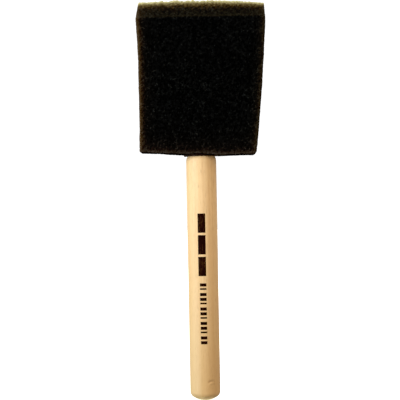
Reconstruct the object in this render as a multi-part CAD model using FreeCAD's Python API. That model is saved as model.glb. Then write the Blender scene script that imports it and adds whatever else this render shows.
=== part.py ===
"""Foam sponge brush: wooden dowel handle, plastic stiffener insert, glue films and foam head.

Millimetres. +Z runs along the handle's axis, from the domed butt (Z = 0) to the foam's tip.
The foam's flat faces look along -Y (front) and +Y (back), and its width runs along X.
"""
import FreeCAD, Part

import math
import os

from FreeCAD import Placement, Rotation, Vector

# Handle: a half inch dowel with a shallow domed butt, an eased top edge and a blind bore for the peg
HANDLE_DIAMETER = 12.7
HANDLE_LENGTH = 103.0
BUTT_CROWN_RADIUS = 9.3
BUTT_CORNER_RADIUS = 2.5
TOP_EDGE_RADIUS = 1.7
BORE_DIAMETER = 5.6
BORE_DEPTH = 20.0
DRILL_POINT_ANGLE = 118.0

# Stiffener insert: ribbed peg, round collar, wedge-shaped neck and tapered blade
PEG_LENGTH = 18.0
PEG_CORE_DIAMETER = 5.1
PEG_RIB_COUNT = 6
PEG_RIB_WIDTH = 0.9
PEG_END_CHAMFER = 0.6
COLLAR_DIAMETER = 13.3
COLLAR_THICKNESS = 0.8
COLLAR_EDGE_RADIUS = 0.2
NECK_WIDTH = 9.0
NECK_ROOT_THICKNESS = 6.0
NECK_LENGTH = 14.0
BLADE_WIDTH = 36.0
BLADE_LENGTH = 42.0
BLADE_ROOT_GAP = 2.0
BLADE_ROOT_THICKNESS = 1.7
BLADE_TIP_THICKNESS = 1.1
BLADE_CORNER_RADIUS = 5.0
BLADE_RIB_X = (-15.0, -10.5, 10.5, 15.0)
BLADE_RIB_WIDTH = 0.8
BLADE_RIB_HEIGHT = 0.2
BLADE_RIB_MARGIN = 6.0

# Hot-melt glue film on each face of the blade
GLUE_THICKNESS = 0.3
GLUE_MARGIN = 3.0

# Foam head: a block that widens a little towards a blunt bevel on both faces
FOAM_LENGTH = 63.9
FOAM_THICKNESS = 16.0
FOAM_BASE_WIDTH = 48.4
FOAM_BEVEL_WIDTH = 53.4
FOAM_TIP_WIDTH = 52.8
FOAM_BEVEL_LENGTH = 7.6
FOAM_TIP_THICKNESS = 1.2
FOAM_BASE_CORNER_RADIUS = 1.2
SLIT_SIDE_GAP = 0.3
NECK_GAP = 0.1

# Levels along the axis
COLLAR_TOP = HANDLE_LENGTH + COLLAR_THICKNESS
FOAM_BASE = COLLAR_TOP
FOAM_TIP = FOAM_BASE + FOAM_LENGTH
FOAM_BEVEL = FOAM_TIP - FOAM_BEVEL_LENGTH
BLADE_ROOT = FOAM_BASE + BLADE_ROOT_GAP
BLADE_TIP = BLADE_ROOT + BLADE_LENGTH


def wire_face(points):
    """A planar face inside straight lines through the points."""
    return Part.Face(Part.makePolygon(points + [points[0]]))


def side_slab(profile_yz, width):
    """A (y, z) outline extruded along X, centred on the axis."""
    face = wire_face([Vector(-width / 2, y, z) for y, z in profile_yz])
    return face.extrude(Vector(width, 0, 0))


def front_slab(outline_xz, depth):
    """An (x, z) outline extruded along Y, centred on the axis."""
    face = wire_face([Vector(x, -depth / 2, z) for x, z in outline_xz])
    return face.extrude(Vector(0, depth, 0))


def round_y_edges(solid, radius, z_level):
    """Round the edges that run along Y at one level."""
    def chosen(edge):
        start, end = (vertex.Point for vertex in edge.Vertexes)
        along_y = abs(start.x - end.x) < 1e-6 and abs(start.z - end.z) < 1e-6
        return along_y and abs(start.z - z_level) < 1e-6
    edges = [edge for edge in solid.Edges if len(edge.Vertexes) == 2 and chosen(edge)]
    return solid.makeFillet(radius, edges)


def blade_half_thickness(z):
    """Half the blade's thickness at a level, before its ribs."""
    share = (z - BLADE_ROOT) / BLADE_LENGTH
    return (BLADE_ROOT_THICKNESS + share * (BLADE_TIP_THICKNESS - BLADE_ROOT_THICKNESS)) / 2


def tapered_plate(width, low, high, grow):
    """A plate that follows the blade's taper, thicker than it by grow on each face."""
    low_half = blade_half_thickness(low) + grow
    high_half = blade_half_thickness(high) + grow
    profile = [(-low_half, low), (low_half, low), (high_half, high), (-high_half, high)]
    return side_slab(profile, width)


def plate_outline(low, grow):
    """The blade's front outline from a level to its rounded tip, larger by grow at the sides and tip."""
    half = BLADE_WIDTH / 2 + grow
    top = BLADE_TIP + grow
    outline = [(-half, low), (half, low), (half, top), (-half, top)]
    block = front_slab(outline, FOAM_THICKNESS)
    return round_y_edges(block, BLADE_CORNER_RADIUS + grow, top)


def neck(grow):
    """The wedge that joins the collar to the blade, larger by grow all round."""
    top = FOAM_BASE + NECK_LENGTH
    root_half = NECK_ROOT_THICKNESS / 2 + grow
    top_half = blade_half_thickness(top) + grow
    profile = [(-root_half, FOAM_BASE), (root_half, FOAM_BASE), (top_half, top), (-top_half, top)]
    return side_slab(profile, NECK_WIDTH + 2 * grow)


def handle():
    radius = HANDLE_DIAMETER / 2
    corner_x = radius - BUTT_CORNER_RADIUS
    reach = BUTT_CROWN_RADIUS - BUTT_CORNER_RADIUS
    corner_z = BUTT_CROWN_RADIUS - math.sqrt(reach ** 2 - corner_x ** 2)
    crown_half_angle = math.asin(corner_x / reach)

    def on_crown(angle):
        x = BUTT_CROWN_RADIUS * math.sin(angle)
        return Vector(x, 0, BUTT_CROWN_RADIUS * (1 - math.cos(angle)))

    def on_corner(angle):
        x = corner_x + BUTT_CORNER_RADIUS * math.sin(angle)
        return Vector(x, 0, corner_z - BUTT_CORNER_RADIUS * math.cos(angle))

    mid_corner = (crown_half_angle + math.pi / 2) / 2
    side_low = Vector(radius, 0, corner_z)
    side_high = Vector(radius, 0, HANDLE_LENGTH - TOP_EDGE_RADIUS)
    edge_diagonal = TOP_EDGE_RADIUS * (1 - math.sqrt(0.5))
    edge_mid = Vector(radius - edge_diagonal, 0, HANDLE_LENGTH - edge_diagonal)
    top_outer = Vector(radius - TOP_EDGE_RADIUS, 0, HANDLE_LENGTH)
    top_centre = Vector(0, 0, HANDLE_LENGTH)
    crown_end = on_crown(crown_half_angle)
    profile = Part.Wire([
        Part.Arc(Vector(0, 0, 0), on_crown(crown_half_angle / 2), crown_end).toShape(),
        Part.Arc(crown_end, on_corner(mid_corner), side_low).toShape(),
        Part.LineSegment(side_low, side_high).toShape(),
        Part.Arc(side_high, edge_mid, top_outer).toShape(),
        Part.LineSegment(top_outer, top_centre).toShape(),
        Part.LineSegment(top_centre, Vector(0, 0, 0)).toShape(),
    ])
    dowel = Part.Face(profile).revolve(Vector(0, 0, 0), Vector(0, 0, 1), 360)

    bore_radius = BORE_DIAMETER / 2
    bore_floor = HANDLE_LENGTH - BORE_DEPTH
    point_depth = bore_radius / math.tan(math.radians(DRILL_POINT_ANGLE / 2))
    bore = Part.makeCylinder(bore_radius, BORE_DEPTH, Vector(0, 0, bore_floor))
    point = Part.makeCone(0, bore_radius, point_depth, Vector(0, 0, bore_floor - point_depth))
    return dowel.cut(bore.fuse(point)).removeSplitter()


def peg():
    low = HANDLE_LENGTH - PEG_LENGTH
    core_radius = PEG_CORE_DIAMETER / 2
    core = Part.makeCylinder(core_radius, PEG_LENGTH, Vector(0, 0, low))
    envelope = Part.makeCylinder(BORE_DIAMETER / 2, PEG_LENGTH, Vector(0, 0, low))
    ribs = []
    for index in range(PEG_RIB_COUNT):
        rib = Part.makeBox(BORE_DIAMETER / 2, PEG_RIB_WIDTH, PEG_LENGTH, Vector(0, -PEG_RIB_WIDTH / 2, low))
        turn = Rotation(Vector(0, 0, 1), index * 360 / PEG_RIB_COUNT)
        rib.Placement = Placement(Vector(0, 0, 0), turn)
        ribs.append(rib.common(envelope))
    shaft = core.multiFuse(ribs)
    lead_height = BORE_DIAMETER / 2
    lead_in = Part.makeCone(
        BORE_DIAMETER / 2 - PEG_END_CHAMFER, BORE_DIAMETER - PEG_END_CHAMFER, lead_height,
        Vector(0, 0, low))
    body = Part.makeCylinder(
        BORE_DIAMETER, PEG_LENGTH - lead_height, Vector(0, 0, low + lead_height))
    return shaft.common(lead_in.fuse(body))


def collar():
    disc = Part.makeCylinder(COLLAR_DIAMETER / 2, COLLAR_THICKNESS, Vector(0, 0, HANDLE_LENGTH))
    rims = [edge for edge in disc.Edges if isinstance(edge.Curve, Part.Circle)]
    return disc.makeFillet(COLLAR_EDGE_RADIUS, rims)


def blade():
    plate = tapered_plate(BLADE_WIDTH, BLADE_ROOT, BLADE_TIP, 0)
    low = BLADE_ROOT + BLADE_RIB_MARGIN
    high = BLADE_TIP - BLADE_RIB_MARGIN
    solid = plate.common(plate_outline(BLADE_ROOT, 0))
    for x in BLADE_RIB_X:
        rib = tapered_plate(BLADE_RIB_WIDTH, low, high, BLADE_RIB_HEIGHT)
        rib.translate(Vector(x, 0, 0))
        solid = solid.fuse(rib)
    return solid


def stiffener_insert():
    return peg().multiFuse([collar(), neck(0), blade()]).removeSplitter()


def glue_film(side, insert):
    """The film on one face of the blade: side is -1 for the front and +1 for the back."""
    low = BLADE_ROOT + GLUE_MARGIN
    high = BLADE_TIP - GLUE_MARGIN
    width = BLADE_WIDTH - 2 * GLUE_MARGIN
    both = tapered_plate(width, low, high, GLUE_THICKNESS)
    half_space = Part.makeBox(width, FOAM_THICKNESS, BLADE_LENGTH, Vector(-width / 2, 0, low))
    if side < 0:
        half_space.translate(Vector(0, -FOAM_THICKNESS, 0))
    film = both.common(half_space).cut(tapered_plate(width, low, high, 0))
    return film.cut(neck(NECK_GAP)).cut(insert)


def foam_head():
    half = FOAM_THICKNESS / 2
    tip_half = FOAM_TIP_THICKNESS / 2
    profile = [
        (-half, FOAM_BASE), (half, FOAM_BASE), (half, FOAM_BEVEL),
        (tip_half, FOAM_TIP), (-tip_half, FOAM_TIP), (-half, FOAM_BEVEL),
    ]
    outline = [
        (-FOAM_BASE_WIDTH / 2, FOAM_BASE), (FOAM_BASE_WIDTH / 2, FOAM_BASE),
        (FOAM_BEVEL_WIDTH / 2, FOAM_BEVEL), (FOAM_TIP_WIDTH / 2, FOAM_TIP),
        (-FOAM_TIP_WIDTH / 2, FOAM_TIP), (-FOAM_BEVEL_WIDTH / 2, FOAM_BEVEL),
    ]
    face_on = round_y_edges(front_slab(outline, 2 * FOAM_THICKNESS), FOAM_BASE_CORNER_RADIUS, FOAM_BASE)
    block = side_slab(profile, 2 * FOAM_BEVEL_WIDTH).common(face_on)
    slit_plate = tapered_plate(
        BLADE_WIDTH + 2 * SLIT_SIDE_GAP, FOAM_BASE, BLADE_TIP + SLIT_SIDE_GAP, GLUE_THICKNESS)
    slit = slit_plate.common(plate_outline(FOAM_BASE, SLIT_SIDE_GAP))
    return block.cut(slit).cut(neck(NECK_GAP))


def main():
    insert = stiffener_insert()
    nodes = {
        "handle": handle(),
        "stiffener_insert": insert,
        "glue_film_front": glue_film(-1, insert),
        "glue_film_back": glue_film(1, insert),
        "foam_head": foam_head(),
    }
    os.makedirs("parts", exist_ok=True)
    for name, shape in nodes.items():
        box = shape.BoundBox
        print(f"{name}: valid {shape.isValid()}, solids {len(shape.Solids)}, volume {shape.Volume:.1f} mm3, "
              f"X {box.XMin:.2f}..{box.XMax:.2f}, Y {box.YMin:.2f}..{box.YMax:.2f}, "
              f"Z {box.ZMin:.2f}..{box.ZMax:.2f}")
        shape.exportStep(f"parts/{name}.step")


main()
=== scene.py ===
"""Looks for the foam sponge brush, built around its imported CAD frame.

Everything is in metres in the CAD's frame: +Z up the handle, -Y out of the front, X across the foam.
The foam, the dowel, the ink mark and the glue bead at the joint are modelled here. The plastic insert
and the two glue films are the CAD's own pieces with procedural materials.
"""

import math

import bpy
import numpy as np
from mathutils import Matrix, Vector, kdtree, noise


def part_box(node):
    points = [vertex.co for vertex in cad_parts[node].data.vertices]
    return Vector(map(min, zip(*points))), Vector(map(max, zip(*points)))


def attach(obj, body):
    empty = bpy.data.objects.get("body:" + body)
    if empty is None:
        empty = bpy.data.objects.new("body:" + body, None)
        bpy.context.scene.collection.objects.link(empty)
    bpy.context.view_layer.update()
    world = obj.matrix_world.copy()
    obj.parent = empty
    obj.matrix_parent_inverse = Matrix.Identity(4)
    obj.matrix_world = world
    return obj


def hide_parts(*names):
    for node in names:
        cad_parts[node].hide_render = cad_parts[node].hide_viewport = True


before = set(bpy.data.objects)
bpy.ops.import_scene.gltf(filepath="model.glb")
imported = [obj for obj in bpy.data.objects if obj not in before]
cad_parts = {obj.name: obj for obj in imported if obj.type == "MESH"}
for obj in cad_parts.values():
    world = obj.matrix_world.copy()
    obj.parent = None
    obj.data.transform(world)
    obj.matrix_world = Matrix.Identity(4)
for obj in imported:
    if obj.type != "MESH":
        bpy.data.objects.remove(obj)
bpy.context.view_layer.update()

MM = 0.001
SEED = 20

# Places taken from the frame
HANDLE_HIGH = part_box("handle")[1]
HANDLE_RADIUS = HANDLE_HIGH.x
HANDLE_TOP = HANDLE_HIGH.z
FOAM_LOW, FOAM_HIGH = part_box("foam_head")
FOAM_HEIGHT = FOAM_HIGH.z - FOAM_LOW.z
HALF_DEPTH = FOAM_HIGH.y
INSERT_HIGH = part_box("stiffener_insert")[1]
GLUE_LOW, GLUE_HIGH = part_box("glue_film_front")

# Camera: square on to the front, a little above the middle, rolled so that the handle leans
FRAME_WIDTH = 168.5 * MM
CAMERA_DISTANCE = 420 * MM
CAMERA_AIM = Vector((-0.8 * MM, 0, 84.1 * MM))
CAMERA_ROLL = math.radians(1.06)
SENSOR_WIDTH = 36.0

# Foam head: the lattice of its skin
MAIN_LEVELS = 166
BEVEL_LEVELS = 26
LATTICE = (158, 48, MAIN_LEVELS + BEVEL_LEVELS)

# Foam head: its shape, as cut and as glued on a little askew
BEVEL_LENGTH = 7.45 * MM
BEVEL_START = FOAM_HIGH.z - BEVEL_LENGTH
TIP_HALF_THICKNESS = 0.6 * MM
BASE_HALF_WIDTH = 24.1 * MM
BEVEL_HALF_WIDTH = 26.7 * MM
TIP_HALF_WIDTH = 26.4 * MM
BASE_SHIFT = -1.3 * MM
BEVEL_SHIFT = 0.8 * MM
TIP_SHIFT = 1.15 * MM
SIDE_BOW = 0.55 * MM
BASE_RISE = 0.19 * MM
BASE_TILT = 0.65 * MM
TIP_TILT = 0.43 * MM
TIP_ARCH = 0.92 * MM
TIP_RISE = 0.27 * MM
BASE_SAG = 0.92 * MM
SAG_CENTRE = 2.5 * MM
SAG_REACH = 19.5 * MM
EDGE_RADIUS = 0.5 * MM
BASE_RIGHT_RADIUS = 1.5 * MM

# Foam head: the slit for the blade and the neck, and the collar that the base rests on
SLIT_MARGIN = 0.3 * MM
SLIT_HALF_WIDTH = INSERT_HIGH.x + SLIT_MARGIN
SLIT_TOP = INSERT_HIGH.z + SLIT_MARGIN
SLIT_SETTLE = 8 * MM
SLIT_MOUTH_HALF_DEPTH = 0.33 * MM
SLIT_ROOT_HALF_DEPTH = 1.17 * MM
SLIT_END_HALF_DEPTH = 0.95 * MM
NECK_HALF_WIDTH = 4.7 * MM
NECK_SIDE_FADE = 1.4 * MM
NECK_ROOT_HALF_DEPTH = 3.15 * MM
NECK_END_HALF_DEPTH = 1 * MM
NECK_HEIGHT = 14 * MM
NECK_SPREAD_REACH = 7 * MM
COLLAR_RADIUS = 6.65 * MM
COLLAR_CLEARANCE = 0.15 * MM

# Foam head: its open cells
PORE_SPACING = 0.78 * MM
PORE_DEPTH = 0.42 * MM
SKIN_GROWTH = 0.22 * MM
FRAY_HEIGHT = 0.45 * MM

# Handle
BUTT_CROWN_RADIUS = 9.3 * MM
BUTT_CORNER_RADIUS = 2.5 * MM
TOP_EASE = 1.7 * MM
TOP_EASE_HEIGHT = 2.7 * MM
BORE_RADIUS = 2.8 * MM
BORE_DEPTH = 20 * MM
BORE_POINT = 1.6 * MM
NICK_ACROSS = 2.75 * MM
NICK_UP = 8.7 * MM
NICK_TILT = math.radians(8)
NICK_DEPTH = 0.28 * MM
NICK_LIP = 0.24 * MM

# Ink mark: how far it stands out of the wood and goes into it, and its blocks and ticks
INK_PROUD = 0.03 * MM
INK_SUNK = 0.12 * MM
INK_RIGHT = 1.2 * MM
BLOCKS = 3
BLOCKS_TOP = 78.5 * MM
BLOCK_PITCH = 9 * MM
BLOCK_LENGTH = 8 * MM
BLOCK_LEFT = -2.0 * MM
TICKS = 13
TICKS_TOP = 49.5 * MM
TICK_PITCH = 2 * MM
TICK_LEFT = -1.5 * MM
LONG_TICK = 1.3 * MM
SHORT_TICK = 0.7 * MM

# Glue bead round the joint, and the directions of its two lumps seen from above
BEAD_RING_RADIUS = 5.93 * MM
BEAD_RADIUS = 0.38 * MM
BEAD_BELOW_TOP = 0.24 * MM
LEFT_LUMP = 1.06 * math.pi
RIGHT_LUMP = 1.90 * math.pi

# Stage
STAGE_RADIUS = 2.4
STAGE_SIDES = 96
DOME_RINGS = 16


# ---------------------------------------------------------------- mesh helpers

def mesh_object(name, vertices, faces, smooth=True):
    mesh = bpy.data.meshes.new(name)
    mesh.from_pydata([tuple(v) for v in vertices], [], [tuple(f) for f in faces])
    mesh.validate()
    mesh.update()
    if smooth:
        mesh.shade_smooth()
    piece = bpy.data.objects.new(name, mesh)
    bpy.context.scene.collection.objects.link(piece)
    return piece


def vertex_normals(mesh):
    normals = np.zeros(len(mesh.vertices) * 3, np.float32)
    mesh.vertex_normals.foreach_get("vector", normals)
    return normals.reshape(-1, 3)


def set_points(mesh, points):
    mesh.vertices.foreach_set("co", np.asarray(points, np.float32).ravel())
    mesh.update()


def point_attribute(mesh, name, values):
    layer = mesh.attributes.new(name, "FLOAT", "POINT")
    layer.data.foreach_set("value", np.asarray(values, np.float32))


def smoothstep(low, high, value):
    share = np.clip((value - low) / (high - low), 0, 1)
    return share * share * (3 - 2 * share)


def slow_noise(points, size, offset=0.0):
    """Smooth noise from about -1 to 1, one value a point, with features of the given size."""
    shift = Vector((offset, offset * 1.7, offset * 0.3))
    return np.array([noise.noise(Vector(p) / size + shift) for p in points])


# ---------------------------------------------------------------- foam head

def slit_half_depth(z):
    """Half the slit's depth: nearly closed at the mouth, and open round the tapered blade above it."""
    share = np.clip((z - GLUE_LOW.z) / (GLUE_HIGH.z - GLUE_LOW.z), 0, 1)
    around_blade = SLIT_ROOT_HALF_DEPTH + (SLIT_END_HALF_DEPTH - SLIT_ROOT_HALF_DEPTH) * share
    opening = smoothstep(FOAM_LOW.z + 0.4 * MM, FOAM_LOW.z + 1.9 * MM, z)
    return SLIT_MOUTH_HALF_DEPTH + opening * (around_blade - SLIT_MOUTH_HALF_DEPTH)


def neck_half_depth(x, z):
    """Half the depth that the insert's wedge-shaped neck needs."""
    near = 1 - smoothstep(NECK_HALF_WIDTH, NECK_HALF_WIDTH + NECK_SIDE_FADE, np.abs(x))
    taper = np.clip(1 - (z - FOAM_LOW.z) / NECK_HEIGHT, 0, 1)
    wedge = NECK_END_HALF_DEPTH + taper * (NECK_ROOT_HALF_DEPTH - NECK_END_HALF_DEPTH)
    return near * wedge * (z < FOAM_LOW.z + NECK_HEIGHT)


def slit_cells():
    """Half the slit's width, in cells of the lattice."""
    return round(LATTICE[0] * SLIT_HALF_WIDTH / (FOAM_HIGH.x - FOAM_LOW.x))


def foam_grid():
    """Lattice of the foam's skin, with a hole in the base for the slit's mouth.

    Gives the (i, j, k) of each point, the quads, each point's number by (i, j, k), and the hole's corners.
    """
    nx, ny, nz = LATTICE
    number = np.full((nx + 1, ny + 1, nz + 1), -1)
    skin = np.ones(number.shape, bool)
    skin[1:-1, 1:-1, 1:-1] = False
    i0, i1 = nx // 2 - slit_cells(), nx // 2 + slit_cells()
    j0, j1 = ny // 2 - 1, ny // 2 + 1
    skin[i0 + 1:i1, j0 + 1:j1, 0] = False
    number[skin] = np.arange(skin.sum())
    quads = []

    def sheet(side, flip):
        quad = np.stack([side[:-1, :-1], side[1:, :-1], side[1:, 1:], side[:-1, 1:]], -1).reshape(-1, 4)
        quad = quad[(quad >= 0).all(1)]
        quads.append(quad[:, ::-1] if flip else quad)

    sheet(number[0], True)
    sheet(number[nx], False)
    sheet(number[:, 0], False)
    sheet(number[:, ny], True)
    sheet(number[:, :, 0], True)
    sheet(number[:, :, nz], False)
    return np.argwhere(skin), np.concatenate(quads), number, (i0, i1, j0, j1)


def round_corners(points, half, radius):
    """Rounds a block's edges: what lies past a smaller block by more than the radius is pulled in."""
    inner = np.clip(points, -(half - radius[:, None]), half - radius[:, None])
    out = points - inner
    reach = np.linalg.norm(out, axis=1)
    pull = np.where(reach > radius, radius / np.maximum(reach, 1e-9), 1)
    return inner + out * pull[:, None]


def beside_collar(x, y):
    """0 over the insert's collar, where the foam rests on it, to 1 clear of it."""
    edge = COLLAR_RADIUS + COLLAR_CLEARANCE
    return smoothstep(edge, edge + 0.8 * MM, np.hypot(x, y))


def base_sag(x):
    """How far down the base sags, as a share: less over the collar, and more just right of it."""
    broad = np.exp(-((x - SAG_CENTRE) / SAG_REACH) ** 2)
    over_collar = np.exp(-(x / (5.5 * MM)) ** 4)
    right_of_collar = np.exp(-((x - 7.8 * MM) / (1.8 * MM)) ** 2)
    return broad * (1 - 0.45 * over_collar) + 0.18 * right_of_collar


def foam_skin(cells):
    """Places the lattice: a rounded block, then its taper, bevel, lean, bow and sag.

    Gives the points, and how far each lies from the left, right, base and tip edges of its broad face.
    """
    bevel_at = FOAM_HEIGHT - BEVEL_LENGTH
    across = cells[:, 0] / LATTICE[0] * 2 - 1
    deep = cells[:, 1] / LATTICE[1] * 2 - 1
    level = cells[:, 2]
    main = np.minimum(level, MAIN_LEVELS) / MAIN_LEVELS * bevel_at
    up = main + np.maximum(level - MAIN_LEVELS, 0) / BEVEL_LEVELS * BEVEL_LENGTH

    half = np.array([BEVEL_HALF_WIDTH, HALF_DEPTH, FOAM_HEIGHT / 2])
    block = np.stack([across * half[0], deep * half[1], up - half[2]], -1)
    low_right = smoothstep(0.9, 1.0, across) * smoothstep(4 * MM, 0, up)
    radius = EDGE_RADIUS + (BASE_RIGHT_RADIUS - EDGE_RADIUS) * low_right
    block = round_corners(block, half, radius)
    across, deep, up = block[:, 0] / half[0], block[:, 1] / half[1], block[:, 2] + half[2]

    rise = np.clip(up / bevel_at, 0, 1)
    bevel = np.clip((up - bevel_at) / BEVEL_LENGTH, 0, 1)
    half_width = BASE_HALF_WIDTH + rise * (BEVEL_HALF_WIDTH - BASE_HALF_WIDTH)
    half_width += bevel * (TIP_HALF_WIDTH - BEVEL_HALF_WIDTH)
    middle = BASE_SHIFT + rise * (BEVEL_SHIFT - BASE_SHIFT) + bevel * (TIP_SHIFT - BEVEL_SHIFT)
    middle += SIDE_BOW * 4 * rise * (1 - rise)
    x = middle + across * half_width

    # near the base the lattice follows the slit's mouth, which stays on the insert's axis
    slit_share = 2 * slit_cells() / LATTICE[0]
    base_x = np.interp(across, [-1, -slit_share, slit_share, 1], [
        BASE_SHIFT - BASE_HALF_WIDTH, -SLIT_HALF_WIDTH, SLIT_HALF_WIDTH, BASE_SHIFT + BASE_HALF_WIDTH])
    settle = np.clip(1 - up / SLIT_SETTLE, 0, 1)
    x += settle * (base_x - BASE_SHIFT - across * BASE_HALF_WIDTH)

    taper = 1 - (1 - TIP_HALF_THICKNESS / HALF_DEPTH) * bevel
    y = deep * HALF_DEPTH * taper
    spread = neck_half_depth(x, np.full_like(x, FOAM_LOW.z)) * (level == 0)
    y += np.sign(deep) * spread * np.clip(1 - np.abs(y) / NECK_SPREAD_REACH, 0, 1)

    base_drop = BASE_RISE - BASE_TILT * across - BASE_SAG * base_sag(x)
    tip_drop = -TIP_TILT * across - TIP_ARCH * across ** 2 + TIP_RISE
    z = FOAM_LOW.z + up + base_drop * beside_collar(x, y) * (1 - rise) + tip_drop * bevel

    inward = (1 - np.abs(deep)) * HALF_DEPTH * taper
    edges = np.stack([(1 + across) * half_width, (1 - across) * half_width, up], -1)
    from_edges = np.column_stack([np.hypot(edges, inward[:, None]), FOAM_HEIGHT - up])
    return np.stack([x, y, z], -1), from_edges


def slit_pocket(points, number, mouth):
    """The slit's inner walls: new points, and quads that join them to the mouth's ring."""
    i0, i1, j0, j1 = mouth
    ring = [(i, j0) for i in range(i0, i1)] + [(i1, j) for j in range(j0, j1)]
    ring += [(i, j1) for i in range(i1, i0, -1)] + [(i0, j) for j in range(j1, j0, -1)]
    heights = (0.8 * MM, 1.9 * MM, 5 * MM, NECK_HEIGHT, 30 * MM)
    start = len(points)
    new, faces = [], []

    def place(i, j, z):
        x = ((i - i0) / (i1 - i0) * 2 - 1) * SLIT_HALF_WIDTH
        side = (j - j0) / (j1 - j0) * 2 - 1
        depth = max(float(slit_half_depth(np.float64(z))), float(neck_half_depth(np.float64(x), z)))
        return (x, side * depth, z)

    below = [number[i, j, 0] for i, j in ring]
    for z in [*(FOAM_LOW.z + height for height in heights), SLIT_TOP]:
        here = []
        for i, j in ring:
            here.append(start + len(new))
            new.append(place(i, j, z))
        for a in range(len(ring)):
            b = (a + 1) % len(ring)
            faces.append((here[a], here[b], below[b], below[a]))
        below = here
    at = dict(zip(ring, below))
    for i in range(i0 + 1, i1):
        for j in range(j0 + 1, j1):
            at[i, j] = start + len(new)
            new.append(place(i, j, SLIT_TOP))
    for i in range(i0, i1):
        for j in range(j0, j1):
            faces.append((at[i, j + 1], at[i + 1, j + 1], at[i + 1, j], at[i, j]))
    return np.array(new), faces


def pores(points):
    """Open cells cut by the skin: how deep each point lies in a cell, 0 on a strut to 1 in a pore."""
    random = np.random.RandomState(SEED)
    reach = 1.1 * PORE_SPACING
    low, high = points.min(0) - reach, points.max(0) + reach
    count = int(np.prod((high - low) / PORE_SPACING))
    seeds = low + random.rand(count, 3) * (high - low)
    tree = kdtree.KDTree(count)
    for index, seed in enumerate(seeds):
        tree.insert(seed, index)
    tree.balance()
    depth = np.zeros(len(points))
    for index, point in enumerate(points):
        (_, _, first), (_, _, second) = tree.find_n(point, 2)
        depth[index] = second - first
    return smoothstep(0.03 * PORE_SPACING, 0.55 * PORE_SPACING, depth)


def skin_relief(points, pore):
    """How far the skin grows outwards: uneven and grainy, with its cells cut in, and less at the mouth."""
    unevenness = 0.14 * MM * slow_noise(points, 9 * MM) + 0.09 * MM * slow_noise(points, 3 * MM, 5.0)
    grain = 0.06 * MM * slow_noise(points, 0.5 * MM, 9.0)
    from_mouth = np.abs(points[:, 1]) + (points[:, 2] - FOAM_LOW.z)
    clear_of_mouth = smoothstep(0.3 * MM, 1.5 * MM, from_mouth)
    return (SKIN_GROWTH + unevenness + grain - PORE_DEPTH * pore) * (0.25 + 0.75 * clear_of_mouth)


def fray(points):
    """Torn cells along the thin tip: up and down by the same on both faces, and fading below the tip."""
    along = points * np.array([1, 0.15, 0.15])
    return slow_noise(along, 0.9 * MM, 21.0) * np.exp((points[:, 2] - FOAM_HIGH.z) / (0.9 * MM))


def build_foam():
    """The foam block: its lattice in place, the slit inside it, and its open cells cut into the skin."""
    cells, faces, number, mouth = foam_grid()
    skin, from_edges = foam_skin(cells)
    pocket, pocket_faces = slit_pocket(skin, number, mouth)
    points = np.concatenate([skin, pocket])
    piece = mesh_object("foam_block", points, [*faces.tolist(), *pocket_faces])
    mesh = piece.data
    normals = vertex_normals(mesh)
    on_skin = np.arange(len(points)) < len(skin)
    pore = pores(points) * on_skin
    above = points[:, 2] - BEVEL_START
    on_bevel = smoothstep(-0.9 * MM, 0.3 * MM, above)
    sideways = smoothstep(0.3, 0.9, np.abs(normals[:, 0]))

    # the thin tip and the bevel's narrow ends have no room for deep cells
    room = np.clip((FOAM_HIGH.z - points[:, 2]) / (2.5 * MM), 0.35, 1) * (1 - 0.6 * on_bevel * sideways)
    # the base stays flat where it rests on the collar
    above_base = smoothstep(0.1 * MM, 0.6 * MM, points[:, 2] - FOAM_LOW.z)
    free = np.maximum(above_base, beside_collar(points[:, 0], points[:, 1]))
    move = skin_relief(points, pore) * on_skin * room * free
    frayed = points + normals * move[:, None]
    frayed[:, 2] += FRAY_HEIGHT * fray(points)
    set_points(mesh, frayed)

    # what the material lightens, as painted light: the bevel, lit through the thin wedge, a painted
    # highlight along the crease where it starts, and the narrow sides, which face away from the lamps
    crease_highlight = np.exp(-(above / (0.45 * MM)) ** 2)
    point_attribute(mesh, "pore", pore)
    point_attribute(mesh, "bevel", 0.72 * on_bevel + 0.5 * crease_highlight + 0.3 * sideways * (1 - on_bevel))
    deep_inside = np.full((len(pocket), 4), 2 * HALF_DEPTH)
    glow_attribute(mesh, np.concatenate([from_edges, deep_inside]), points, normals, pore)
    return piece


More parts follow.
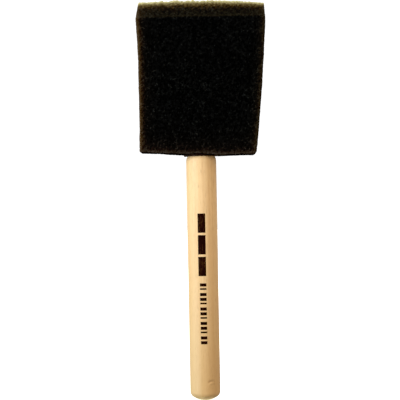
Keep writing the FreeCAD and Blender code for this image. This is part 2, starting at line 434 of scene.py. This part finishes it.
def glow_attribute(mesh, from_edges, points, normals, pore):
    """Light that has come through the foam: it fades inwards from each edge, blue first and red last.

    It is brightest at the thin tip, a little less in its cells. It is strong at the front, which looks
    towards the light, and weak on what faces up or back.
    """
    left, right, base, tip = from_edges.T
    tip = tip * (1 + 0.55 * slow_noise(points * np.array([1, 0.8, 0.8]), 0.6 * MM, 30.0))
    # distance from the edge, light at the edge, and how far in it reaches
    shares = (
        (left, (0.064, 0.037, 0.015), 0.72 * MM),
        (left, (0.0085, 0.0055, 0.0035), 2.4 * MM),
        (right, (0.024, 0.018, 0.011), 1.35 * MM),
        (base, (0.020, 0.014, 0.011), 0.7 * MM),
        (base, (0.0088, 0.0055, 0.0035), 3.8 * MM),
        (base, (0.035, 0.032, 0.030), 0.25 * MM),
    )
    tip_strength = np.array([0.605, 0.58, 0.307])
    tip_reach = np.array([1.34, 1.20, 1.05]) * MM
    towards_light = 1 - 0.95 * smoothstep(-HALF_DEPTH, 0.5 * HALF_DEPTH, points[:, 1])
    towards_light *= 1 + 0.35 * slow_noise(points, 4 * MM, 14.0)
    facing_up = smoothstep(0.78, 0.98, normals[:, 2])
    glow = np.ones((len(from_edges), 4))
    glow[:, :3] = sum(np.exp(-inside / reach)[:, None] * np.array(colour)
                      for inside, colour, reach in shares)
    through_tip = np.exp(-(np.maximum(tip, 0)[:, None] / tip_reach) ** 1.6)
    glow[:, :3] += tip_strength * through_tip * (1.1 - 0.35 * pore[:, None])
    glow[:, :3] *= np.maximum(towards_light, np.exp(-tip / (3 * MM)))[:, None]
    glow[:, :3] *= 1 - 0.7 * facing_up[:, None]
    layer = mesh.attributes.new("glow", "FLOAT_COLOR", "POINT")
    layer.data.foreach_set("color", glow.astype(np.float32).ravel())


# ---------------------------------------------------------------- handle

def handle_profile():
    """(radius, height) down the outside from the butt's centre, over the top and down the bore."""
    crown_steps, corner_steps, straight_steps, ease_steps = 14, 10, 240, 10
    corner_x = HANDLE_RADIUS - BUTT_CORNER_RADIUS
    reach = BUTT_CROWN_RADIUS - BUTT_CORNER_RADIUS
    corner_z = BUTT_CROWN_RADIUS - math.sqrt(reach ** 2 - corner_x ** 2)
    crown_end = math.asin(corner_x / reach)
    shoulder = HANDLE_TOP - TOP_EASE_HEIGHT
    profile = []
    for step in range(1, crown_steps + 1):
        angle = crown_end * step / crown_steps
        profile.append((BUTT_CROWN_RADIUS * math.sin(angle),
                        BUTT_CROWN_RADIUS * (1 - math.cos(angle))))
    for step in range(1, corner_steps + 1):
        angle = crown_end + (math.pi / 2 - crown_end) * step / corner_steps
        profile.append((corner_x + BUTT_CORNER_RADIUS * math.sin(angle),
                        corner_z - BUTT_CORNER_RADIUS * math.cos(angle)))
    for step in range(1, straight_steps + 1):
        profile.append((HANDLE_RADIUS, corner_z + (shoulder - corner_z) * step / straight_steps))
    for step in range(1, ease_steps + 1):
        angle = math.pi / 2 * step / ease_steps
        profile.append((HANDLE_RADIUS - TOP_EASE * (1 - math.cos(angle)),
                        shoulder + TOP_EASE_HEIGHT * math.sin(angle)))
    profile.append(((HANDLE_RADIUS - TOP_EASE + BORE_RADIUS) / 2, HANDLE_TOP))
    profile.append((BORE_RADIUS, HANDLE_TOP))
    profile.append((BORE_RADIUS, HANDLE_TOP - BORE_DEPTH))
    return profile


def nick(around, z):
    """A small slanted dent near the butt, right of the front: how deep it goes, and how high its lip is."""
    s, t = around - NICK_ACROSS, z - NICK_UP
    along = s * math.cos(NICK_TILT) + t * math.sin(NICK_TILT)
    over = -s * math.sin(NICK_TILT) + t * math.cos(NICK_TILT) + along ** 2 / (6 * MM)
    length = np.exp(-(along / (1.4 * MM)) ** 4)
    return (length * np.exp(-(over / (0.40 * MM)) ** 2),
            length * np.exp(-((over + 0.8 * MM) / (0.35 * MM)) ** 2))


def build_handle():
    """The dowel: its profile turned round the axis, with raised grain outside, a bore inside and a dent."""
    profile = handle_profile()
    turns = 180
    points = [(0, 0, 0)]
    for radius, z in profile:
        for turn in range(turns):
            angle = 2 * math.pi * turn / turns
            points.append((radius * math.sin(angle), -radius * math.cos(angle), z))
    last = len(points)
    points.append((0, 0, HANDLE_TOP - BORE_DEPTH - BORE_POINT))
    faces = []
    for turn in range(turns):
        after = (turn + 1) % turns
        faces.append((0, 1 + after, 1 + turn))
        end = 1 + (len(profile) - 1) * turns
        faces.append((end + turn, end + after, last))
    for level in range(len(profile) - 1):
        low = 1 + level * turns
        for turn in range(turns):
            after = (turn + 1) % turns
            faces.append((low + turn, low + after, low + turns + after, low + turns + turn))
    piece = mesh_object("dowel_handle", points, faces)
    mesh = piece.data
    points = np.array(points)
    normals = vertex_normals(mesh)

    outside = np.hypot(points[:, 0], points[:, 1]) > BORE_RADIUS + 0.2 * MM
    outside |= points[:, 2] < 3 * MM
    stretched = points * np.array([1, 1, 0.06])
    grain = 0.02 * MM * slow_noise(stretched, 0.5 * MM)
    grain += 0.03 * MM * slow_noise(stretched, 2.5 * MM, 3.0)
    around = np.arctan2(points[:, 0], -points[:, 1]) * HANDLE_RADIUS
    cut, lip = nick(around, points[:, 2])
    move = grain * outside - NICK_DEPTH * cut + NICK_LIP * lip
    set_points(mesh, points + normals * move[:, None])
    point_attribute(mesh, "nick", cut)
    return piece


# ---------------------------------------------------------------- ink mark

def curved_tile(low_s, high_s, low_z, high_z, points, faces):
    """A thin closed tile on the dowel's surface, from one arc position and level to another."""
    columns = max(2, math.ceil((high_s - low_s) / (0.3 * MM)))
    rows = max(1, math.ceil((high_z - low_z) / (1.2 * MM)))
    start = len(points)
    for radius in (HANDLE_RADIUS + INK_PROUD, HANDLE_RADIUS - INK_SUNK):
        for row in range(rows + 1):
            for column in range(columns + 1):
                angle = (low_s + (high_s - low_s) * column / columns) / HANDLE_RADIUS
                z = low_z + (high_z - low_z) * row / rows
                points.append((radius * math.sin(angle), -radius * math.cos(angle), z))
    wide, layer = columns + 1, (columns + 1) * (rows + 1)

    def at(row, column, side):
        return start + side * layer + row * wide + column

    for row in range(rows):
        for column in range(columns):
            quad = [at(row, column, 0), at(row, column + 1, 0),
                    at(row + 1, column + 1, 0), at(row + 1, column, 0)]
            faces.append(quad)
            faces.append([corner + layer for corner in quad[::-1]])
        faces.append((at(row, 0, 1), at(row, 0, 0), at(row + 1, 0, 0), at(row + 1, 0, 1)))
        faces.append((at(row, columns, 0), at(row, columns, 1),
                      at(row + 1, columns, 1), at(row + 1, columns, 0)))
    for column in range(columns):
        faces.append((at(0, column, 1), at(0, column + 1, 1), at(0, column + 1, 0), at(0, column, 0)))
        faces.append((at(rows, column, 0), at(rows, column + 1, 0),
                      at(rows, column + 1, 1), at(rows, column, 1)))


def build_ink():
    """A generic printed mark: three plain blocks, then a row of long and short ticks."""
    points, faces = [], []
    for index in range(BLOCKS):
        high = BLOCKS_TOP - index * BLOCK_PITCH
        curved_tile(BLOCK_LEFT, INK_RIGHT, high - BLOCK_LENGTH, high, points, faces)
    for index in range(TICKS):
        high = TICKS_TOP - index * TICK_PITCH
        length = SHORT_TICK if index % 3 == 1 else LONG_TICK
        curved_tile(TICK_LEFT, INK_RIGHT, high - length, high, points, faces)
    return mesh_object("ink_mark", points, faces, smooth=False)


# ---------------------------------------------------------------- glue bead at the joint

def build_glue_bead():
    """Hot-melt squeezed out round the joint: a thin uneven ring, with a lump at its left and its right."""
    turns, sides = 144, 14
    points, faces = [], []
    for turn in range(turns):
        angle = 2 * math.pi * turn / turns
        way = Vector((math.cos(angle), math.sin(angle), 0))
        left = math.exp(-((angle - LEFT_LUMP) / 0.20) ** 2)
        right = math.exp(-((angle - RIGHT_LUMP) / 0.24) ** 2)
        wander = noise.noise(way * 4.0 + Vector((SEED, 0, 0)))
        radius = BEAD_RADIUS + (0.07 * wander + 0.22 * left + 0.20 * right) * MM
        centre = way * (BEAD_RING_RADIUS + (0.95 * left + 1.3 * right) * MM)
        centre.z = HANDLE_TOP - BEAD_BELOW_TOP + (0.18 * left + 0.10 * right) * MM
        for side in range(sides):
            around = 2 * math.pi * side / sides
            upward = Vector((0, 0, math.sin(around)))
            swell = 1 + 0.18 * noise.noise((way + upward) * 9.0)
            points.append(centre + (way * math.cos(around) + upward) * radius * swell)
    for turn in range(turns):
        here = turn * sides
        ahead = (turn + 1) % turns * sides
        for side in range(sides):
            above = (side + 1) % sides
            faces.append((here + side, ahead + side, ahead + above, here + above))
    return mesh_object("glue_bead", points, faces)


# ---------------------------------------------------------------- materials

class Nodes:
    """Short ways to add shader nodes to one material."""

    def __init__(self, name):
        self.material = bpy.data.materials.new(name)
        self.material.use_nodes = True
        self.tree = self.material.node_tree
        self.shader = self.tree.nodes["Principled BSDF"]
        self.object_space = self.add("ShaderNodeTexCoord").outputs["Object"]

    def add(self, kind, **settings):
        node = self.tree.nodes.new(kind)
        for key, value in settings.items():
            setattr(node, key, value)
        return node

    def put(self, socket, value):
        if isinstance(value, bpy.types.NodeSocket):
            self.tree.links.new(value, socket)
        else:
            socket.default_value = value

    def math(self, operation, *values):
        node = self.add("ShaderNodeMath", operation=operation)
        for socket, value in zip(node.inputs, values):
            self.put(socket, value)
        return node.outputs[0]

    def stretch(self, scale):
        """Object space with its axes scaled: a small scale makes a pattern long that way."""
        node = self.add("ShaderNodeMapping")
        self.put(node.inputs["Vector"], self.object_space)
        node.inputs["Scale"].default_value = scale
        return node.outputs[0]

    def noise(self, where, scale, detail=2.0, roughness=0.5, distortion=0.0):
        node = self.add("ShaderNodeTexNoise")
        self.put(node.inputs["Vector"], where)
        node.inputs["Scale"].default_value = scale
        node.inputs["Detail"].default_value = detail
        node.inputs["Roughness"].default_value = roughness
        node.inputs["Distortion"].default_value = distortion
        return node.outputs["Fac"]

    def cells(self, where, scale):
        node = self.add("ShaderNodeTexVoronoi")
        self.put(node.inputs["Vector"], where)
        node.inputs["Scale"].default_value = scale
        return node.outputs

    def cell_value(self, where, scale):
        """One random value from 0 to 1 for each cell."""
        parts = self.add("ShaderNodeSeparateColor")
        self.put(parts.inputs[0], self.cells(where, scale)["Color"])
        return parts.outputs[0]

    def span(self, value, low, high, to_low=0.0, to_high=1.0):
        node = self.add("ShaderNodeMapRange")
        self.put(node.inputs["Value"], value)
        node.inputs["From Min"].default_value = low
        node.inputs["From Max"].default_value = high
        node.inputs["To Min"].default_value = to_low
        node.inputs["To Max"].default_value = to_high
        return node.outputs["Result"]

    def mix(self, share, first, second, blend="MIX"):
        """A mix of two colours, each a tuple or a socket. The node's colour sockets are known by number."""
        node = self.add("ShaderNodeMix", data_type="RGBA", blend_type=blend)
        self.put(node.inputs["Factor"], share)
        self.put(node.inputs[6], (*first, 1) if isinstance(first, tuple) else first)
        self.put(node.inputs[7], (*second, 1) if isinstance(second, tuple) else second)
        return node.outputs[2]

    def attribute(self, name, output="Fac"):
        return self.add("ShaderNodeAttribute", attribute_name=name).outputs[output]

    def bump(self, height, distance, strength):
        node = self.add("ShaderNodeBump")
        self.put(node.inputs["Height"], height)
        node.inputs["Distance"].default_value = distance
        node.inputs["Strength"].default_value = strength
        self.put(self.shader.inputs["Normal"], node.outputs["Normal"])

    def finish(self, **sockets):
        for name, value in sockets.items():
            self.put(self.shader.inputs[name.replace("_", " ")], value)
        return self.material


def foam_material():
    """Near-black foam: cells that differ, painted shade that makes the pores darker than the struts,
    painted light on the bevel, and the light that comes through.
    """
    m = Nodes("charcoal_foam")
    fine = m.cells(m.object_space, 1900)["Distance"]
    speckle = m.noise(m.object_space, 1100, 3, 0.6)
    tone = m.math("POWER", m.cell_value(m.object_space, 1250), 2.6)
    # cells differ at random in tone; painted shade makes the pores darker than the struts
    strut = m.math("SUBTRACT", 1.0, m.attribute("pore"))
    tone_and_pore_shade = m.math("MULTIPLY", m.span(tone, 0, 1, 0.56, 2.15), m.span(strut, 0, 1, 0.55, 1.25))
    # painted light: the bevel attribute lightens the bevel, its crease and the narrow sides, and evens
    # their cells
    bevel = m.attribute("bevel")
    tone_and_pore_shade = m.mix(m.math("MULTIPLY", bevel, 0.7), tone_and_pore_shade, (1, 1, 1))
    dark = m.mix(bevel, (0.0057, 0.0060, 0.0062), (0.0165, 0.0153, 0.0127))
    body = m.mix(1.0, dark, tone_and_pore_shade, "MULTIPLY")
    through = m.mix(1.0, m.attribute("glow", "Color"), m.span(tone_and_pore_shade, 0, 3, 0.93, 1.28), "MULTIPLY")
    colour = m.mix(1.0, body, through, "ADD")
    m.bump(m.math("ADD", fine, m.math("MULTIPLY", speckle, 0.7)), 0.25 * MM, 0.7)
    return m.finish(Base_Color=colour, Roughness=0.95, Specular_IOR_Level=0.01)


def wood_material():
    """Birch: growth rings cut lengthwise, long fibres and short flecks, with painted shade down the handle
    and round the butt's rim, and a painted pale crown.
    """
    m = Nodes("birch_wood")
    pith = m.add("ShaderNodeVectorMath", operation="ADD")
    m.put(pith.inputs[0], m.stretch((1, 1, 0.03)))
    pith.inputs[1].default_value = (0.021, 0.034, 0)
    wander = m.noise(m.stretch((1, 1, 0.12)), 90, 3)
    distance = m.add("ShaderNodeVectorMath", operation="LENGTH")
    m.put(distance.inputs[0], pith.outputs[0])
    rings = m.math("ADD", distance.outputs["Value"], m.math("MULTIPLY", wander, 0.0035))
    rings = m.math("SINE", m.math("MULTIPLY", rings, 2 * math.pi / (1.9 * MM)))
    fibres = m.noise(m.stretch((1, 1, 0.025)), 2600, 4, 0.65)
    streaks = m.noise(m.stretch((1, 1, 0.02)), 520, 3, 0.6)
    flecks = m.span(m.noise(m.stretch((1, 1, 0.11)), 2700, 2), 0.60, 0.72)
    mottle = m.noise(m.stretch((1, 1, 0.4)), 800, 3, 0.6)
    tint = m.noise(m.stretch((1, 1, 0.25)), 210, 2)

    colour = m.mix(m.span(streaks, 0.3, 0.7), (0.80, 0.545, 0.275), (0.90, 0.66, 0.375))
    colour = m.mix(m.span(rings, -0.2, 1.0, 0.0, 0.22), colour, (0.70, 0.42, 0.19))
    colour = m.mix(m.span(tint, 0.35, 0.7, 0.0, 0.25), colour, (0.86, 0.54, 0.30))
    colour = m.mix(m.span(fibres, 0.5, 0.8, 0.0, 0.30), colour, (0.62, 0.40, 0.20))
    colour = m.mix(m.math("MULTIPLY", flecks, 0.4), colour, (0.42, 0.24, 0.11))
    colour = m.mix(m.span(mottle, 0.42, 0.75, 0.0, 0.25), colour, (0.66, 0.42, 0.22))

    # painted shade: darker down the handle and on its right, least at its left, which faces the key light;
    # a painted pale crown, as light from below; and painted shade round the butt's rim, where it turns down
    # from the light, made patchy with noise
    place = m.add("ShaderNodeSeparateXYZ")
    m.put(place.inputs[0], m.object_space)
    x, z = place.outputs["X"], place.outputs["Z"]
    low_shade_colour = m.mix(m.span(x, -3.6 * MM, -1.2 * MM), (0.505, 0.35, 0.165), (0.45, 0.26, 0.085))
    colour = m.mix(m.span(z, 85 * MM, 5 * MM, 0.0, 0.60), colour, low_shade_colour)
    colour = m.mix(m.span(z, 2.6 * MM, 0.8 * MM), colour, (1.0, 0.78, 0.38))
    rim = m.math("MULTIPLY", m.span(z, 3.6 * MM, 2.0 * MM), m.span(z, 1.2 * MM, 2.0 * MM))
    rim_shade_patches = m.noise(m.stretch((1, 1, 0.6)), 330, 3, 0.6)
    rim = m.math("MULTIPLY", rim, m.span(rim_shade_patches, 0.3, 0.65, 0.15, 0.6))
    colour = m.mix(rim, colour, (0.30, 0.20, 0.07))
    # painted shade: darker inside the dent
    colour = m.mix(m.math("MULTIPLY", m.attribute("nick"), 0.35), colour, (0.30, 0.17, 0.08))

    relief = m.math("SUBTRACT", m.math("ADD", fibres, m.math("MULTIPLY", streaks, 0.6)), flecks)
    m.bump(relief, 0.04 * MM, 0.6)
    roughness = m.span(fibres, 0.3, 0.7, 0.42, 0.6)
    return m.finish(Base_Color=colour, Roughness=roughness, Specular_IOR_Level=0.35)


def ink_material():
    """Dark brown ink, worn thin along the grain."""
    m = Nodes("printed_ink")
    grain = m.noise(m.stretch((1, 1, 0.05)), 2200, 3, 0.6)
    blots = m.noise(m.object_space, 1500, 3, 0.7)
    wear = m.math("MULTIPLY", m.span(grain, 0.5, 0.72), m.span(blots, 0.4, 0.7))
    colour = m.mix(m.math("MULTIPLY", wear, 0.7), (0.012, 0.0035, 0.0015), (0.20, 0.10, 0.05))
    return m.finish(Base_Color=colour, Roughness=0.8, Specular_IOR_Level=0.1)


def plastic_material():
    """Dark moulded plastic, with flow marks along it."""
    m = Nodes("moulded_plastic")
    texture = m.noise(m.object_space, 2400, 3, 0.6)
    flow = m.noise(m.stretch((1, 1, 0.2)), 240, 2)
    colour = m.mix(flow, (0.008, 0.004, 0.003), (0.016, 0.009, 0.006))
    m.bump(texture, 0.03 * MM, 0.5)
    roughness = m.span(texture, 0.3, 0.7, 0.38, 0.55)
    return m.finish(Base_Color=colour, Roughness=roughness, Specular_IOR_Level=0.1)


def glue_material(name, clear, cloudy, specular):
    """Cloudy hot-melt glue, between two colours."""
    m = Nodes(name)
    cloud = m.noise(m.object_space, 420, 3)
    ripple = m.noise(m.object_space, 900, 2, distortion=0.6)
    m.bump(ripple, 0.15 * MM, 0.5)
    return m.finish(
        Base_Color=m.mix(cloud, clear, cloudy), Roughness=m.span(ripple, 0.3, 0.7, 0.22, 0.4),
        Specular_IOR_Level=specular, Subsurface_Weight=0.3, Subsurface_Scale=0.5 * MM)


def dress(piece, material):
    piece.data.materials.clear()
    piece.data.materials.append(material)


# ---------------------------------------------------------------- stage, lights, camera

def build_floor():
    """A plain white disc, a little brighter away from the brush, where it meets the backdrop."""
    angles = [2 * math.pi * side / STAGE_SIDES for side in range(STAGE_SIDES)]
    rim = [(STAGE_RADIUS * math.cos(angle), STAGE_RADIUS * math.sin(angle), 0) for angle in angles]
    floor = mesh_object("floor", rim, [range(STAGE_SIDES)], smooth=False)
    m = Nodes("floor_white")
    away = m.add("ShaderNodeVectorMath", operation="LENGTH")
    m.put(away.inputs[0], m.object_space)
    light = m.span(away.outputs["Value"], 0.12, 0.6, 0.85, 1.05)
    dress(floor, m.finish(Base_Color=(0.86, 0.86, 0.86, 1), Roughness=0.9,
                          Emission_Color=(1, 1, 1, 1), Emission_Strength=light))
    floor.visible_diffuse = False
    floor.visible_glossy = False
    return floor


def build_backdrop():
    """A white dome that only the camera sees."""
    points, faces = [], []
    for ring in range(DOME_RINGS):
        polar = math.pi / 2 * ring / DOME_RINGS
        for side in range(STAGE_SIDES):
            angle = 2 * math.pi * side / STAGE_SIDES
            points.append((STAGE_RADIUS * math.cos(polar) * math.cos(angle),
                           STAGE_RADIUS * math.cos(polar) * math.sin(angle),
                           STAGE_RADIUS * math.sin(polar)))
    points.append((0, 0, STAGE_RADIUS))
    for ring in range(DOME_RINGS - 1):
        low = ring * STAGE_SIDES
        high = low + STAGE_SIDES
        for side in range(STAGE_SIDES):
            after = (side + 1) % STAGE_SIDES
            faces.append((low + side, high + side, high + after, low + after))
    last_ring = (DOME_RINGS - 1) * STAGE_SIDES
    for side in range(STAGE_SIDES):
        faces.append((last_ring + side, len(points) - 1, last_ring + (side + 1) % STAGE_SIDES))
    dome = mesh_object("backdrop", points, faces)
    m = Nodes("backdrop_white")
    dress(dome, m.finish(Base_Color=(0, 0, 0, 1), Roughness=0.9,
                         Emission_Color=(1, 1, 1, 1), Emission_Strength=1.1))
    for ray in ("diffuse", "glossy", "transmission", "volume_scatter", "shadow"):
        setattr(dome, f"visible_{ray}", False)
    return dome


def softbox(name, place, target, width, height, watts, colour=(1, 1, 1)):
    light = bpy.data.lights.new(name, "AREA")
    light.shape = "RECTANGLE"
    light.size, light.size_y = width, height
    light.energy = watts
    light.color = colour
    lamp = bpy.data.objects.new(name, light)
    lamp.location = place
    lamp.rotation_euler = (Vector(target) - Vector(place)).to_track_quat("-Z", "Y").to_euler()
    bpy.context.scene.collection.objects.link(lamp)


def build_lights():
    middle = (0, 0, 0.09)
    softbox("key_left", (-0.62, -0.42, 0.10), middle, 0.35, 0.7, 9.3, (0.93, 0.99, 1))
    softbox("fill_right", (0.75, -0.50, 0.25), middle, 0.7, 0.9, 2.4, (1, 0.55, 0.08))
    softbox("overhead", (0, -0.10, 0.75), (0, 0, 0.1), 0.6, 0.5, 1.0)
    softbox("behind", (0.1, 0.7, 0.45), middle, 0.9, 0.5, 4.0)
    world = bpy.data.worlds.new("studio")
    world.use_nodes = True
    world.node_tree.nodes["Background"].inputs["Color"].default_value = (1, 0.97, 0.88, 1)
    world.node_tree.nodes["Background"].inputs["Strength"].default_value = 0.48
    bpy.context.scene.world = world


def photographic_tone():
    """Plain display colours, with the deepest shadows pressed together, as beside a bright white ground."""
    view = bpy.context.scene.view_settings
    view.view_transform = "Standard"
    view.use_curve_mapping = True
    all_channels = view.curve_mapping.curves[3]
    for rendered, shown in ((0.004, 0.0004), (0.012, 0.0035), (0.030, 0.024), (0.060, 0.058)):
        all_channels.points.new(rendered, shown).handle_type = "VECTOR"
    view.curve_mapping.update()


def build_camera():
    data = bpy.data.cameras.new("camera")
    data.sensor_width = SENSOR_WIDTH
    data.lens = SENSOR_WIDTH * CAMERA_DISTANCE / FRAME_WIDTH
    data.clip_start = 10 * MM
    camera = bpy.data.objects.new("camera", data)
    camera.location = CAMERA_AIM - Vector((0, CAMERA_DISTANCE, 0))
    camera.rotation_euler = (math.pi / 2, CAMERA_ROLL, 0)
    bpy.context.scene.collection.objects.link(camera)
    bpy.context.scene.camera = camera


# ---------------------------------------------------------------- put together

build_camera()
build_lights()
photographic_tone()
floor = build_floor()
dome = build_backdrop()

foam = build_foam()
dress(foam, foam_material())
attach(foam, "root")
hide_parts("foam_head")

handle = build_handle()
dress(handle, wood_material())
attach(handle, "root")
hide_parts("handle")

ink = build_ink()
dress(ink, ink_material())
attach(ink, "root")

bead = build_glue_bead()
# the bead's near-black colour is partly the glue's own and partly painted shade at the joint, under the
# foam's base
dress(bead, glue_material("glue_and_joint_shade", (0.014, 0.007, 0.004), (0.036, 0.024, 0.018), 0.12))
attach(bead, "root")

dress(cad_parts["stiffener_insert"], plastic_material())
film = glue_material("hot_melt_film", (0.72, 0.62, 0.42), (0.84, 0.78, 0.62), 0.5)
for node in ("glue_film_front", "glue_film_back"):
    dress(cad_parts[node], film)
